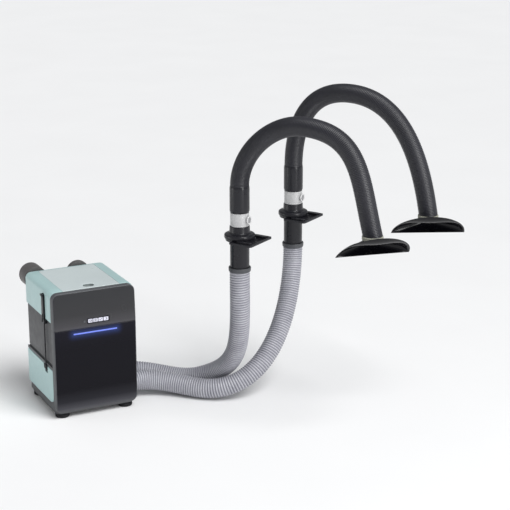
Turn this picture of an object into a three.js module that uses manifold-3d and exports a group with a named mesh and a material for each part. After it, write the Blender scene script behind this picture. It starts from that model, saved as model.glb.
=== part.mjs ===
// Two-arm solder fume extractor: a floor-standing filter unit, two ribbed hoses that run over the floor
// and up to two bench brackets, and on each bracket a damper and a bendable arm with a half-moon hood.
// Millimetres, +Z up, floor at z = 0. The unit's front faces -Y and the hoses leave it on the +X side.
import * as THREE from "three";
import { mergeVertices } from "three/addons/utils/BufferGeometryUtils.js";
import Module from "manifold-3d";

const wasm = await Module();
wasm.setup();

// ---- driving dimensions ------------------------------------------------------------------------
const GAP = 0.3; // clearance that touching pieces keep

// filter unit
const WIDTH = 354;
const DEPTH = 360;
const TOP = 540;
const FOOT = 18;
const FRONT = -DEPTH / 2;
const REAR = DEPTH / 2;
const SIDE = WIDTH / 2;
const SHEET = 3; // steel wall of the chassis
const CHASSIS_X = 170.7;
const CHASSIS_FRONT = -160;
const CHASSIS_REAR = 176;
const CREASE = 383; // height where the front leans back
const HEAD_LOW = 412; // parting line between chassis and head
const HEAD_FRONT = -146; // the dark front frame reaches back to here on both sides
const HEAD_EDGE = 24; // rounding along the head's upper side edges
const LEAN = 3; // degrees that the upper front leans back
const SKIRT = [60, 206]; // bottom and top of the coloured lower side panels

// latch on each side of the unit
const LATCH_Y = -65;
const PIVOT_OUT = 178;
const PIVOT_Z = 400;
const CRANK = 12; // height of the rod's eye above the lever's pivot
const BAR_Z = 192;

// extraction wheel
const WHEEL_R = 100;

// exhaust outlets on the back of the head
const EXHAUST_X = [-127, 63];
const EXHAUST_LONG = [80, 25]; // the right outlet is a short spare stub
const EXHAUST_Z = 505;
const EXHAUST_R = 49;

// hoses: two cubic Bezier stretches each, from the unit to the pipe under the bench bracket
const HOSE_R = 42;
const HOSE_WALL = 2.5;
const INLET_Z = 68;
const INLET_Y = [67, -58];
const INLET_FACE = 185; // free end of the inlet spigots
const HOSE_START = 201;
const HOSE_TOP = 590;
const HOSE_STRETCHES = [
  [
    [[HOSE_START, 67, 68], [340, 67, 68], [409, -33, 21], [491, -106, 58]],
    [[491, -106, 58], [643, -243, 128], [570, -348, 264], [570, -348, HOSE_TOP]],
  ],
  [
    [[HOSE_START, -58, 68], [351, -58, 68], [413, -179, 33], [498, -238, 47]],
    [[498, -238, 47], [723, -396, 86], [935, -120, 350], [935, -120, HOSE_TOP]],
  ],
];

// bench stations: a bench 720 high is assumed; local +X reaches over the bench, local Y runs along its edge
const BENCH = 720;
const STATIONS = [
  { id: 1, at: [570, -348], hoodTurn: -43 },
  { id: 2, at: [935, -120], hoodTurn: -56 },
];
const REACH = -58; // direction of local +X, degrees from +X
const PLATE = 8;
const PLATE_FLOOR = 3.5; // thickness inside the plate's raised rim
const PIPE_R = 39.5;
const PIPE_BORE = 36;
const COLLAR = [60, 115]; // heights above the bench
const KNOB_Z = 88;
const CUFF_TOP = 226;

// arms: centre line in the local XZ plane, from the cuff over the apex to the hood, which it meets at a slant
const ARM_R = 39;
const ARM_BORE = 35.5;
const ARMS = [
  { apex: [288, 497], end: [603, 105], rise: 141, lead: 133, run: 262, drop: 215, lean: 62 },
  { apex: [263, 558], end: [634, 96], rise: 132, lead: 221, run: 228, drop: 255, lean: 42 },
];
const END_SPARE = 14; // the arm's end runs on this far and is then trimmed level
const KNUCKLE_GAP = 6; // half the gap between the two arm tubes at the bend
const BALL_R = 34.5;

// hood: half-moon mouth whose arch overhangs its flat lower lip
const HOOD_HALF = 150;
const ARCH = 90;
const OVERHANG = 90;
const HOOD_WALL = 3.2;
const NECK_TOP = 59;
const HOOD_DROP = 76; // from the end of the arm down to the lower lip
const RING_H = 16;

// ---- materials -----------------------------------------------------------------------------------
const colour = (hex, metalness = 0, roughness = 0.5) =>
  new THREE.MeshStandardMaterial({ color: hex, metalness, roughness });
const TEAL = colour(0x8dbabd);
const PALE_TEAL = colour(0xb9d4d2);
const GRAPHITE = colour(0x3b3f44);
const STEEL = colour(0x4a4e53, 0.6);
const BLACK_GLOSS = colour(0x101116, 0, 0.15);
const SMOKE_GLOSS = colour(0x2e3035, 0, 0.2);
const BLUE_LIGHT = colour(0x2a6bff);
const BLACK = colour(0x17181b);
const RUBBER = colour(0x1c1d20, 0, 0.8);
const FELT = colour(0xd8dad6, 0, 0.9);
const CARD = colour(0xc9b98f, 0, 0.8);
const ALUMINIUM = colour(0xb9bdc2, 0.8, 0.35);
const BOARD = colour(0x1f6b3a);
const HOSE = colour(0xb9bac8, 0, 0.45);
const WHITE = colour(0xf0f0ee);
const BEIGE = colour(0xc3c0ac);

// ---- solid helpers -------------------------------------------------------------------------------
function solid(geometry) {
  const plain = new THREE.BufferGeometry();
  const flat = geometry.index ? geometry.toNonIndexed() : geometry;
  plain.setAttribute("position", flat.getAttribute("position"));
  const merged = mergeVertices(plain, 1e-4);
  const body = (triVerts) => new wasm.Manifold(
    new wasm.Mesh({ numProp: 3, vertProperties: merged.attributes.position.array, triVerts }),
  );
  const tris = new Uint32Array(merged.index.array);
  const made = body(tris);
  if (made.volume() > 0) return made;
  for (let i = 0; i < tris.length; i += 3) [tris[i + 1], tris[i + 2]] = [tris[i + 2], tris[i + 1]];
  return body(tris);
}

function geometryOf(body) {
  const { numProp, vertProperties, triVerts } = body.getMesh();
  const at = new Float32Array((vertProperties.length / numProp) * 3);
  for (let i = 0; i < at.length / 3; i++)
    for (let k = 0; k < 3; k++) at[3 * i + k] = vertProperties[i * numProp + k];
  const geometry = new THREE.BufferGeometry();
  geometry.setAttribute("position", new THREE.BufferAttribute(at, 3));
  geometry.setIndex(new THREE.BufferAttribute(new Uint32Array(triVerts), 1));
  const flat = geometry.toNonIndexed();
  flat.computeVertexNormals();
  return flat;
}

const join = (first, ...rest) => rest.reduce((all, one) => all.add(one), first);
const cut = (first, ...rest) => rest.reduce((all, one) => all.subtract(one), first);
const moved = (body, x, y, z) => body.translate([x, y, z]);
const turned = (body, axis, degrees) =>
  body.rotate([axis === "x" ? degrees : 0, axis === "y" ? degrees : 0, axis === "z" ? degrees : 0]);

// Box from its lowest to its highest corner.
function block(x0, x1, y0, y1, z0, z1) {
  const geometry = new THREE.BoxGeometry(x1 - x0, y1 - y0, z1 - z0);
  geometry.translate((x0 + x1) / 2, (y0 + y1) / 2, (z0 + z1) / 2);
  return solid(geometry);
}

// Ring or rod turned round Z: profile is a list of [radius, height] that ends on the axis or closes.
function turning(profile, segments = 20) {
  const closed = profile[0][0] > 0 ? [...profile, profile[0]] : profile;
  const geometry = new THREE.LatheGeometry(closed.map(([r, z]) => new THREE.Vector2(r, z)), segments);
  geometry.rotateX(Math.PI / 2);
  return solid(geometry);
}
const rod = (r, z0, z1, segments = 16) => turning([[0, z0], [r, z0], [r, z1], [0, z1]], segments);
const ring = (r, bore, z0, z1, segments = 20) =>
  turning([[bore, z0], [r, z0], [r, z1], [bore, z1]], segments);
const alongX = (body) => turned(body, "y", 90); // its +Z becomes +X
const alongY = (body) => turned(body, "x", -90); // its +Z becomes +Y

function roundedOutline(w, h, radii) {
  const [lowLeft, lowRight, highRight, highLeft] = radii;
  const shape = new THREE.Shape();
  shape.moveTo(-w / 2 + lowLeft, -h / 2);
  shape.lineTo(w / 2 - lowRight, -h / 2);
  if (lowRight) shape.absarc(w / 2 - lowRight, -h / 2 + lowRight, lowRight, -Math.PI / 2, 0);
  shape.lineTo(w / 2, h / 2 - highRight);
  if (highRight) shape.absarc(w / 2 - highRight, h / 2 - highRight, highRight, 0, Math.PI / 2);
  shape.lineTo(-w / 2 + highLeft, h / 2);
  if (highLeft) shape.absarc(-w / 2 + highLeft, h / 2 - highLeft, highLeft, Math.PI / 2, Math.PI);
  shape.lineTo(-w / 2, -h / 2 + lowLeft);
  if (lowLeft) shape.absarc(-w / 2 + lowLeft, -h / 2 + lowLeft, lowLeft, Math.PI, 1.5 * Math.PI);
  return shape;
}

const slab = (shape, depth, curveSegments = 2) =>
  solid(new THREE.ExtrudeGeometry(shape, { depth, bevelEnabled: false, curveSegments }));

// Upright rounded box: plan outline w by d about (x, y), from z0 to z1.
const prism = (x, y, w, d, z0, z1, r) =>
  moved(slab(roundedOutline(w, d, [r, r, r, r]), z1 - z0), x, y, z0);

// Plate that stands in the XZ plane: outline w by h about (x, z), from y0 to y1.
const standing = (x, z, w, h, y0, y1, radii, segments = 2) =>
  moved(turned(slab(roundedOutline(w, h, radii), y1 - y0, segments), "x", 90), x, y1, z);

// Outline in the YZ plane, drawn as [y, z] points, from x0 to x1.
function sideways(points, x0, x1) {
  const shape = new THREE.Shape(points.map(([y, z]) => new THREE.Vector2(y, z)));
  return moved(turned(turned(slab(shape, x1 - x0), "x", 90), "z", 90), x0, 0, 0);
}

// Hollow tube of round section along a curve.
function pipe(curve, r, bore, steps, sides) {
  const shape = new THREE.Shape();
  shape.absarc(0, 0, r, 0, 2 * Math.PI);
  const hole = new THREE.Path();
  hole.absarc(0, 0, bore, 0, 2 * Math.PI);
  shape.holes.push(hole);
  return solid(new THREE.ExtrudeGeometry(shape, { steps, extrudePath: curve, curveSegments: sides }));
}

const group = new THREE.Group();
group.name = "solder_fume_extractor";
const cordNames = [];
function add(name, body, material) {
  const mesh = new THREE.Mesh(geometryOf(body), material);
  mesh.name = name;
  group.add(mesh);
  return mesh;
}

// ---- filter unit: base, feet, chassis --------------------------------------------------------------
add("base_tray", prism(0, 8, 336, 332, FOOT, 26, 24), GRAPHITE);
const FEET = {
  front_left: [-138, -132],
  front_right: [138, -132],
  rear_left: [-138, 142],
  rear_right: [138, 142],
};
for (const [corner, [x, y]] of Object.entries(FEET)) {
  const foot = turning([[0, 0], [26, 0], [30, 4], [30, 12], [25, FOOT - GAP], [0, FOOT - GAP]], 20);
  add(`foot_${corner}`, moved(foot, x, y, 0), RUBBER);
}

const chassisY = (CHASSIS_FRONT + CHASSIS_REAR) / 2;
const chassisD = CHASSIS_REAR - CHASSIS_FRONT;
const chassisLow = 26 + GAP;
let chassis = cut(
  prism(0, chassisY, 2 * CHASSIS_X, chassisD, chassisLow, HEAD_LOW, 10),
  prism(0, chassisY, 2 * (CHASSIS_X - SHEET), chassisD - 2 * SHEET, 20, HEAD_LOW + 5, 7),
  block(84, 146, CHASSIS_REAR - 10, CHASSIS_REAR + 5, 44, 117),
  ...INLET_Y.map((y) => moved(alongX(rod(38, 0, 30)), CHASSIS_X - 20, y, INLET_Z)),
);
// ledge that the filters stand on
const ledge = cut(
  block(-CHASSIS_X + 2, CHASSIS_X - 2, CHASSIS_FRONT + 2, CHASSIS_REAR - 2, 122, 126),
  block(-146, 146, CHASSIS_FRONT + 24, CHASSIS_REAR - 24, 120, 130),
);
// ears that carry the latch levers
const EARS = [];
for (const side of [-1, 1])
  for (const way of [-1, 1]) {
    const [a, b] = [LATCH_Y + way * 12.4, LATCH_Y + way * 17.4].sort((p, q) => p - q);
    const [x0, x1] = [side * (CHASSIS_X - 2), side * 184].sort((p, q) => p - q);
    EARS.push(cut(
      block(x0, x1, a, b, PIVOT_Z - 9, PIVOT_Z + 9),
      moved(alongY(rod(2.95, -8, 8, 16)), side * PIVOT_OUT, (a + b) / 2, PIVOT_Z),
    ));
  }
chassis = join(chassis, ledge, ...EARS);
add("chassis", chassis, STEEL);

// coloured lower panels on the two sides, notched for the latch catches
function skirt(side) {
  const [z0, z1] = SKIRT;
  const [y0, y1] = [HEAD_FRONT, CHASSIS_REAR - 1];
  const outline = roundedOutline(y1 - y0, z1 - z0, side < 0 ? [4, 44, 4, 4] : [44, 4, 4, 4]);
  let panel = turned(turned(slab(outline, SIDE - CHASSIS_X - GAP), "x", 90), "z", 90 * side);
  panel = moved(panel, side * (CHASSIS_X + GAP), (y0 + y1) / 2, (z0 + z1) / 2);
  const notch = block(-200, 200, LATCH_Y - 16, LATCH_Y + 16, 174, 210);
  return cut(panel, notch);
}
add("side_panel_left", skirt(-1), TEAL);
add("side_panel_right", cut(skirt(1), block(160, 200, -118, 127, 50, 116)), TEAL);

// inlet manifold: plate with two spigots for the hoses
let manifold = block(CHASSIS_X + GAP, SIDE, -115, 124, 27, 112);
for (const y of INLET_Y)
  manifold = cut(
    join(manifold, moved(alongX(ring(44, 38, 0, INLET_FACE - SIDE + 2)), SIDE - 2, y, INLET_Z)),
    moved(alongX(rod(38, 0, 40, 20)), SIDE - 15, y, INLET_Z),
  );
add("inlet_manifold", manifold, GRAPHITE);

// back panel with the mains inlet and the rocker switch
const INLET_AT = [114, 62];
const ROCKER_AT = [114, 98];
add("rear_panel", cut(
  standing(0, 214, 300, 372, CHASSIS_REAR + GAP, REAR, [12, 12, 12, 12]),
  block(INLET_AT[0] - 14.4, INLET_AT[0] + 14.4, 170, 190, INLET_AT[1] - 10.4, INLET_AT[1] + 10.4),
  block(ROCKER_AT[0] - 9.4, ROCKER_AT[0] + 9.4, 170, 190, ROCKER_AT[1] - 14.2, ROCKER_AT[1] + 14.2),
), GRAPHITE);
add("mains_inlet", join(
  cut(
    join(
      standing(INLET_AT[0], INLET_AT[1], 48, 30, REAR + GAP, REAR + 3, [5, 5, 5, 5]),
      block(INLET_AT[0] - 14, INLET_AT[0] + 14, 156, REAR + 1, INLET_AT[1] - 10, INLET_AT[1] + 10),
    ),
    block(INLET_AT[0] - 12, INLET_AT[0] + 12, 160, 200, INLET_AT[1] - 8, INLET_AT[1] + 8),
  ),
  ...[-7, 0, 7].map((x) => block(
    INLET_AT[0] + x - 1, INLET_AT[0] + x + 1, 158, 176,
    INLET_AT[1] - 2 + (x ? -1.5 : 2), INLET_AT[1] + 2 + (x ? -1.5 : 2),
  )),
), BLACK);
const rocker = sideways([[-4, -9], [6.9, -11], [5, 0], [6.9, 11], [-4, 9]], -9, 9);
add("rocker_switch", moved(turned(rocker, "x", 10), ROCKER_AT[0], 177, ROCKER_AT[1]), BLACK);

// ---- front of the unit -------------------------------------------------------------------------
// lower panel: upright, tucked in towards the floor, hollow behind
const curl = [];
for (let i = 0; i <= 5; i++) {
  const a = (i / 5) * (Math.PI / 2);
  curl.push([FRONT + 17 * (1 - Math.cos(a)), 92 - 70 * Math.sin(a)]);
}
const lowBack = CHASSIS_FRONT - GAP;
const lowFace = [[FRONT, CREASE - GAP], ...curl, [lowBack, 22], [lowBack, CREASE - GAP]];
const LED_Z = 362;
// flanges that wrap the front frame round the chassis sides
const flanges = (z0, z1) => [-1, 1].map((side) => {
  const [x0, x1] = [side * (CHASSIS_X + GAP), side * SIDE].sort((p, q) => p - q);
  return block(x0, x1, CHASSIS_FRONT - 2, HEAD_FRONT - GAP, z0, z1);
});
add("front_panel_lower", cut(
  sideways(lowFace, -SIDE, SIDE).intersect(
    standing(0, (22 + CREASE) / 2, WIDTH, CREASE - 22, FRONT - 5, 0, [34, 34, 0, 0], 3),
  ).add(join(...flanges(58, CREASE - GAP))),
  block(-150, 150, FRONT + 8, CHASSIS_FRONT + 5, 110, CREASE - 12),
  block(-94.3, 94.3, FRONT - 5, FRONT + 12, LED_Z - 3.3, LED_Z + 3.3),
), BLACK_GLOSS);
add("led_bar", standing(0, LED_Z, 188, 6, FRONT - 0.4, FRONT + 9, [2.8, 2.8, 2.8, 2.8]), BLUE_LIGHT);
add("control_board", block(-70, 70, -168, -166.4, 280, 345), BOARD);

// upper panel leans back from the crease and carries the window and the power button
const leaned = (body) => moved(turned(body, "x", -LEAN), 0, FRONT, CREASE);
const faceY = (z) => FRONT + (z - CREASE) * Math.tan(THREE.MathUtils.degToRad(LEAN));
const PANEL_LOW = CREASE + 0.9;
const PANEL_TOP = TOP - 2;
const backY = HEAD_FRONT - GAP;
const WINDOW_AT = [14, 27];
const BUTTON_AT = [-45, 27];
const highFace = [
  [faceY(PANEL_LOW), PANEL_LOW], [faceY(PANEL_TOP), PANEL_TOP], [backY, PANEL_TOP], [backY, HEAD_LOW + GAP],
  [CHASSIS_FRONT - GAP, HEAD_LOW + GAP], [CHASSIS_FRONT - GAP, PANEL_LOW],
];
const highOutline = standing(
  0, (PANEL_LOW + PANEL_TOP) / 2, WIDTH, PANEL_TOP - PANEL_LOW, FRONT - 5, 0, [0, 0, 28, 28], 3,
);
add("front_panel_upper", cut(
  sideways(highFace, -SIDE, SIDE).intersect(highOutline).add(join(...flanges(PANEL_LOW, HEAD_LOW + 2))),
  block(-150, 150, -163, -140, 424, 520),
  leaned(standing(...WINDOW_AT, 96.6, 22.6, -5, 2.3, [3, 3, 3, 3])),
  leaned(moved(alongY(rod(7.5, -5, 20)), BUTTON_AT[0], 0, BUTTON_AT[1])),
), SMOKE_GLOSS);
add("display_window", leaned(standing(...WINDOW_AT, 96, 22, -0.2, 2, [3, 3, 3, 3])), BLACK_GLOSS);
add("power_button", leaned(moved(alongY(rod(7, -1.2, 9)), BUTTON_AT[0], 0, BUTTON_AT[1])), SMOKE_GLOSS);

// ---- head ----------------------------------------------------------------------------------------
const headY = (HEAD_FRONT + REAR) / 2;
const headD = REAR - HEAD_FRONT;
const GROOVE = [LATCH_Y - 15, LATCH_Y + 15];
const LID_REAR = 160; // rear edge of the paler panel in the top, which starts at the front frame
const headSection = standing(
  0, (HEAD_LOW + TOP) / 2, WIDTH, TOP - HEAD_LOW, HEAD_FRONT - 5, REAR + 5, [0, 0, HEAD_EDGE, HEAD_EDGE], 3,
);
const lid = (w, y1, z0, z1) => moved(
  slab(roundedOutline(w, y1 - HEAD_FRONT, [0, 0, 12, 12]), z1 - z0), 0, (HEAD_FRONT + y1) / 2, z0,
);
add("head_shell", cut(
  moved(slab(roundedOutline(WIDTH, headD, [0, 0, 18, 18]), TOP - HEAD_LOW - GAP), 0, headY, HEAD_LOW + GAP)
    .intersect(headSection),
  prism(0, headY, WIDTH - 24, headD - 24, HEAD_LOW - 5, 512, 8),
  prism(0, headY, WIDTH - 64, headD - 24, HEAD_LOW - 5, TOP - 8, 8),
  lid(244.6, LID_REAR + GAP, TOP - 4, TOP + 5),
  block(-SIDE - 5, -170, ...GROOVE, HEAD_LOW - 5, 516),
  block(170, SIDE + 5, ...GROOVE, HEAD_LOW - 5, 516),
  ...EXHAUST_X.map((x) => moved(alongY(rod(26, 0, 40)), x, REAR - 30, EXHAUST_Z)),
), TEAL);
const fingerHole = moved(slab(roundedOutline(46, 34, [16.5, 16.5, 16.5, 16.5]), 20, 3), 0, -112, TOP - 10);
add("top_panel", cut(lid(244, LID_REAR, TOP - 4 + GAP, TOP + 0.3), fingerHole), PALE_TEAL);
for (const [i, name] of ["left", "right"].entries())
  add(`exhaust_spigot_${name}`, moved(alongY(turning([
    [26, GAP], [EXHAUST_R, GAP], [EXHAUST_R, EXHAUST_LONG[i]], [45, EXHAUST_LONG[i]], [45, 5], [26, 5],
  ], 24)), EXHAUST_X[i], REAR, EXHAUST_Z), GRAPHITE);

// extraction wheel, its housing and motor
add("turbine_housing", cut(
  turning([
    [56, HEAD_LOW + GAP], [126, HEAD_LOW + GAP], [126, 498], [30, 498],
    [30, 495], [123, 495], [123, HEAD_LOW + 4], [56, HEAD_LOW + 4],
  ]),
  block(-60, 60, 100, 140, 440, 480),
), ALUMINIUM);
let wheel = join(
  turning([[8.6, 424], [16, 424], [22, 436], [WHEEL_R, 436], [WHEEL_R, 438.5], [8.6, 438.5]], 16),
  ring(16, 8.6, 438, 476, 16),
);
wheel = join(wheel, ring(WHEEL_R, 62, 474, 476, 16));
const blade = moved(turned(block(-18, 18, -1.2, 1.2, 438, 475), "z", 38), 80, 0, 0);
for (let i = 0; i < 7; i++) wheel = join(wheel, turned(blade, "z", (i * 360) / 7));
add("impeller", wheel, ALUMINIUM);
add("motor", turning([
  [0, 440], [8, 440], [8, 498 + GAP], [44, 498 + GAP], [44, 522], [38, TOP - 8 - GAP], [0, TOP - 8 - GAP],
]), STEEL);

// ---- filters -------------------------------------------------------------------------------------
add("prefilter_mat", block(-164, 164, CHASSIS_FRONT + 6, CHASSIS_REAR - 6, 126 + GAP, 146), FELT);
let cassette = cut(
  block(-164, 164, CHASSIS_FRONT + 6, CHASSIS_REAR - 6, 146 + GAP, 394),
  block(-160, 160, CHASSIS_FRONT + 10, CHASSIS_REAR - 10, 140, 400),
);
for (let x = -120; x <= 120; x += 40)
  cassette = join(cassette, block(x - 3, x + 3, CHASSIS_FRONT + 8, CHASSIS_REAR - 8, 152, 388));
add("filter_cassette", cassette, CARD);
add("filter_gasket", cut(
  block(-164, 164, CHASSIS_FRONT + 6, CHASSIS_REAR - 6, 394 + GAP, HEAD_LOW),
  block(-118, 118, -110, 126, 390, 420),
), RUBBER);

// ---- latches: lever, rod and catch on each side ------------------------------------------------------
for (const [side, name] of [[-1, "left"], [1, "right"]]) {
  const place = (body) => moved(side > 0 ? body : body.mirror([1, 0, 0]), 0, LATCH_Y, 0);
  const lever = cut(
    join(
      block(172, 184, -12, 12, PIVOT_Z, 447),
      moved(alongY(rod(6, -12, 12)), PIVOT_OUT, 0, PIVOT_Z),
      moved(alongY(rod(2.6, -17, 17, 16)), PIVOT_OUT, 0, PIVOT_Z),
      block(178, 184, -12, 12, 446, 514),
      block(183, 188, -12, 12, 506, 514),
    ),
    block(160, 200, -5, 5, PIVOT_Z - 20, 430),
  );
  add(`latch_lever_${name}`, place(lever), BLACK);
  const eyeZ = PIVOT_Z + CRANK;
  add(`latch_rod_${name}`, place(join(
    moved(rod(3, BAR_Z, eyeZ, 12), PIVOT_OUT, 0, 0),
    moved(alongY(rod(3.8, -4.5, 4.5, 16)), PIVOT_OUT, 0, eyeZ),
    moved(alongY(rod(3.5, -12, 12, 12)), PIVOT_OUT, 0, BAR_Z),
  )), ALUMINIUM);
  add(`latch_catch_${name}`, place(join(
    block(CHASSIS_X + GAP, 174, -14, 14, 180, 216),
    block(173, 183, -13, -4.5, 196, 212),
    block(173, 183, 4.5, 13, 196, 212),
  )), GRAPHITE);
}

// ---- hoses with their cuffs ------------------------------------------------------------------------
// Two thin crossed bars over a cuff's bore, which keep large objects out of the duct.
const crossBars = (z) => [block(-40, 40, -1.5, 1.5, z, z + 4), block(-1.5, 1.5, -40, 40, z, z + 4)];

for (const [i, stretches] of HOSE_STRETCHES.entries()) {
  const route = new THREE.CurvePath();
  for (const stretch of stretches)
    route.add(new THREE.CubicBezierCurve3(...stretch.map((p) => new THREE.Vector3(...p))));
  const y = INLET_Y[i];
  const [bx, by] = STATIONS[i].at;
  const unitCuff = join(ring(47, 38, INLET_FACE + GAP, HOSE_START - GAP), ...crossBars(HOSE_START - 9));
  add(`hose_cuff_unit_${i + 1}`, moved(alongX(unitCuff), 0, y, INLET_Z), GRAPHITE);
  add(`hose_${i + 1}`, pipe(route, HOSE_R, HOSE_R - HOSE_WALL, 14, 5), HOSE);
  const benchCuff = join(ring(46, 38, HOSE_TOP + GAP, HOSE_TOP + 16), ...crossBars(HOSE_TOP + 5));
  add(`hose_cuff_bench_${i + 1}`, moved(benchCuff, bx, by, 0), GRAPHITE);
  cordNames.push(`hose_${i + 1}`, `hose_cuff_unit_${i + 1}`, `hose_cuff_bench_${i + 1}`);
}

// ---- bench stations --------------------------------------------------------------------------------
// Half of the arm's route: lower stretch from the cuff to the apex, upper stretch from the apex to the hood.
function armCurve(arm, upper) {
  const [ax, az] = arm.apex;
  const [ex, ez] = arm.end;
  const spare = [ex + (END_SPARE * arm.lean) / arm.drop, ez - END_SPARE];
  const points = upper
    ? [[ax, az], [ax + arm.run, az], [ex - arm.lean, ez + arm.drop], spare]
    : [[0, CUFF_TOP + GAP], [0, CUFF_TOP + arm.rise], [ax - arm.lead, az], [ax, az]];
  return new THREE.CubicBezierCurve3(...points.map(([x, z]) => new THREE.Vector3(x, 0, z)));
}

// Stretch of a curve between two lengths along it.
class Part extends THREE.Curve {
  constructor(curve, from, to) {
    super();
    Object.assign(this, { curve, from, to });
  }
  getPoint(t) {
    return this.curve.getPointAt(this.from + t * (this.to - this.from));
  }
}

// Half-moon scoop. Local +X is the way the mouth faces; its lower lip lies on the Y axis at height 0.
// The inner surface is the outer one drawn in towards a point inside the mouth.
function hoodShell() {
  const AROUND = 24;
  const LEVELS = 4;
  const neckR = ARM_R + 1;
  const inside = [25, 0, 22];
  const shrink = [60, HOOD_HALF, 40].map((reach) => 1 - HOOD_WALL / reach);
  const surface = (inner) => {
    const rows = [];
    const row = (at) => Array.from({ length: AROUND }, (_, k) => at((2 * Math.PI * k) / AROUND));
    const r = inner ? PIPE_BORE : neckR;
    rows.push(row((a) => [r * Math.cos(a), r * Math.sin(a), NECK_TOP]));
    for (let j = 0; j <= LEVELS; j++) {
      const t = j / LEVELS;
      rows.push(row((a) => {
        const [c, s] = [Math.cos(a), Math.sin(a)];
        const [fore, aft] = [Math.max(0, c), Math.max(0, -c)];
        const start = [neckR * c, neckR * s, NECK_TOP - 5];
        const mid = [40 * c + 30 * fore, 108 * s, 53 + 2 * fore - 40 * aft];
        const rim = [OVERHANG * fore - aft, HOOD_HALF * s, ARCH * fore];
        const at = start.map((v, i) => (1 - t) ** 2 * v + 2 * t * (1 - t) * mid[i] + t * t * rim[i]);
        return inner ? at.map((v, i) => inside[i] + shrink[i] * (v - inside[i])) : at;
      }));
    }
    return rows;
  };
  const outer = surface(false);
  const inner = surface(true);
  const loop = [...outer, ...inner.reverse()];
  const positions = [];
  for (let i = 0; i < loop.length; i++) {
    const [a, b] = [loop[i], loop[(i + 1) % loop.length]];
    for (let k = 0; k < AROUND; k++) {
      const n = (k + 1) % AROUND;
      positions.push(...a[k], ...b[k], ...b[n], ...a[k], ...b[n], ...a[n]);
    }
  }
  const geometry = new THREE.BufferGeometry();
  geometry.setAttribute("position", new THREE.BufferAttribute(new Float32Array(positions), 3));
  return solid(geometry);
}

for (const [i, station] of STATIONS.entries()) {
  const arm = ARMS[i];
  const place = (body) => moved(turned(body, "z", REACH), station.at[0], station.at[1], BENCH);
  const put = (name, body, material) => add(`${name}_${station.id}`, place(body), material);

  // plate that lies on the bench top, with a raised rim and two long slots for its screws
  const slot = (y) => moved(slab(roundedOutline(66, 18, [8.9, 8.9, 8.9, 8.9]), 30, 2), 60, y, -10);
  put("bench_bracket", cut(
    join(prism(52, 0, 104, 168, 0, PLATE, 10), rod(58, 0, PLATE, 20)),
    cut(prism(52, 0, 90, 154, PLATE_FLOOR, PLATE + 5, 5), rod(66, 0, 30, 20)),
    rod(PIPE_R + 1, -5, 20, 20),
    slot(-62),
    slot(62),
  ), BLACK);
  put("duct_flange", turning([
    [PIPE_BORE, HOSE_TOP + 16 + GAP - BENCH], [PIPE_R, HOSE_TOP + 16 + GAP - BENCH], [PIPE_R, PLATE + GAP],
    [60, PLATE + GAP], [63, PLATE + 4], [63, 24], [58, 28], [44, 31], [42, 36], [PIPE_R, COLLAR[0]],
    [PIPE_BORE, COLLAR[0]],
  ]), BLACK);
  put("damper_collar", cut(
    ring(38.7, PIPE_BORE, COLLAR[0] + GAP, COLLAR[1]),
    moved(alongX(rod(3.6, 20, 60, 12)), 0, 0, KNOB_Z),
  ), WHITE);
  put("damper_vane", moved(join(
    alongY(rod(34.6, -1, 1, 20)),
    alongX(rod(3, -33, 40.6, 12)),
  ), 0, 0, KNOB_Z), ALUMINIUM);
  put("damper_knob", moved(alongX(turning([
    [0, 41], [13, 41], [17, 43], [17, 47], [15, 48.5], [12, 47], [0, 46.5],
  ], 16)), 0, 0, KNOB_Z), WHITE);
  put("arm_cuff", turning([
    [PIPE_BORE, COLLAR[1] + GAP], [37.6, COLLAR[1] + GAP], [40.6, COLLAR[1] + 7], [40.6, CUFF_TOP],
    [PIPE_BORE, CUFF_TOP],
  ]), RUBBER);

  // arm tubes: the lower one ends in a ball that the upper one turns on
  const low = armCurve(arm, false);
  const high = armCurve(arm, true);
  const lowTube = new Part(low, 0, 1 - KNUCKLE_GAP / low.getLength());
  const highTube = new Part(high, KNUCKLE_GAP / high.getLength(), 1);
  const arc = (s) => [Math.sqrt(BALL_R ** 2 - s ** 2), s];
  const ball = turning([
    [30, -20], [36.6, -20], [36.6, -9], arc(-8), arc(-2), arc(5), arc(13), [30, 13],
  ], 16);
  const knuckle = moved(alongX(ball), arm.apex[0], 0, arm.apex[1]);
  put("arm_lower", join(pipe(lowTube, ARM_R, ARM_BORE, 8, 6), knuckle), RUBBER);
  const endX = arm.end[0];
  const belowEnd = block(endX - 80, endX + 80, -80, 80, arm.end[1] - 60, arm.end[1]);
  put("arm_upper", cut(pipe(highTube, ARM_R, ARM_BORE, 9, 6), belowEnd), RUBBER);

  // hood with the ring that holds it on the arm
  const [ex, ez] = arm.end;
  const atHood = (body) => moved(turned(body, "z", station.hoodTurn), ex, 0, ez - HOOD_DROP);
  put("hood_ring", moved(ring(42, PIPE_BORE, -RING_H, -GAP), ex, 0, ez), BEIGE);
  put("hood", atHood(hoodShell()), BLACK);
}

// ---- origin: centre of everything but the hoses, on the floor -----------------------------------------
const box = new THREE.Box3();
for (const mesh of group.children)
  if (!cordNames.includes(mesh.name)) box.union(new THREE.Box3().setFromObject(mesh));
const centre = box.getCenter(new THREE.Vector3());
for (const mesh of group.children) mesh.geometry.translate(-centre.x, -centre.y, -box.min.z);

export default group;
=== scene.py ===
"""Looks of a two-arm solder fume extractor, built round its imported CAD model.

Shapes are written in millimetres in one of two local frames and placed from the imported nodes' boxes:
the filter unit's frame has its origin on the floor under the unit, +Z up and the front facing -Y;
a bench station's frame has its origin on the bench under the duct, +X over the bench.
"""
import math
from contextlib import contextmanager

import bmesh
import bpy
import numpy as np
from mathutils import Matrix, Vector


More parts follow.
